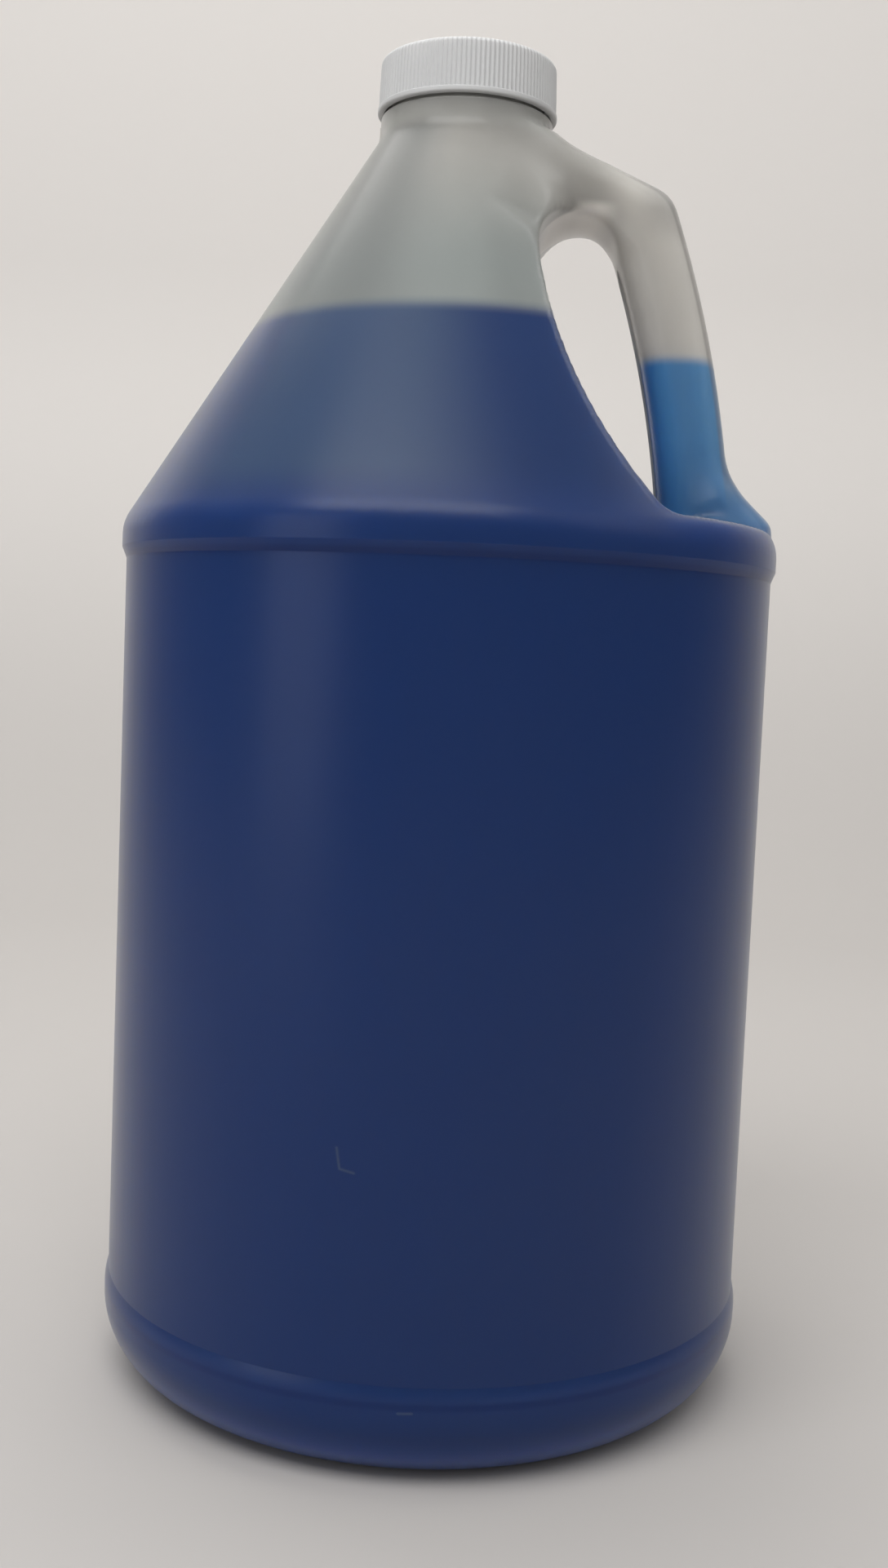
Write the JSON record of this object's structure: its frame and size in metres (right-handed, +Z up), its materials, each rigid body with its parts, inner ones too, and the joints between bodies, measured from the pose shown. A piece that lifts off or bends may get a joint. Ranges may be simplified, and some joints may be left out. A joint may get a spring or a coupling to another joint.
{
  "type": "cleaner jug",
  "caption": "Round translucent jug with a straight cone, a hollow through-handle, dark blue liquid inside and a ribbed screw cap.",
  "frame": {"origin": "centre of the base, on the plane the jug stands on", "axes": "+Z up along the jug's axis; +X towards the handle; the jug is the same on both sides of the XZ plane but for its thread"},
  "size_m": [0.152, 0.152, 0.3042],
  "materials": {
    "bottle": "satin, milky translucent natural polyethylene",
    "liquid": "clear dark blue liquid",
    "cap": "satin white, finely ribbed side",
    "liner": "matte white foam"
  },
  "bodies": {
    "bottle": {"bottle": "bottle", "liquid": "liquid"},
    "liner": {"liner": "liner"},
    "cap": {"cap": "cap"}
  },
  "joints": [
    {"name": "cap_lift", "type": "slide", "parent": "bottle", "child": "liner", "axis": [0, 0, 1], "range_m": [0, 0.0128]},
    {"name": "cap_turn", "type": "hinge", "parent": "liner", "child": "cap", "pos_m": [0, 0, 0.302], "axis": [0, 0, 1], "range_deg": [0, 1080]}
  ],
  "couplings": [
    {"joint": "cap_lift", "follows": "cap_turn", "m_per_rad": 0.0006737}
  ]
}
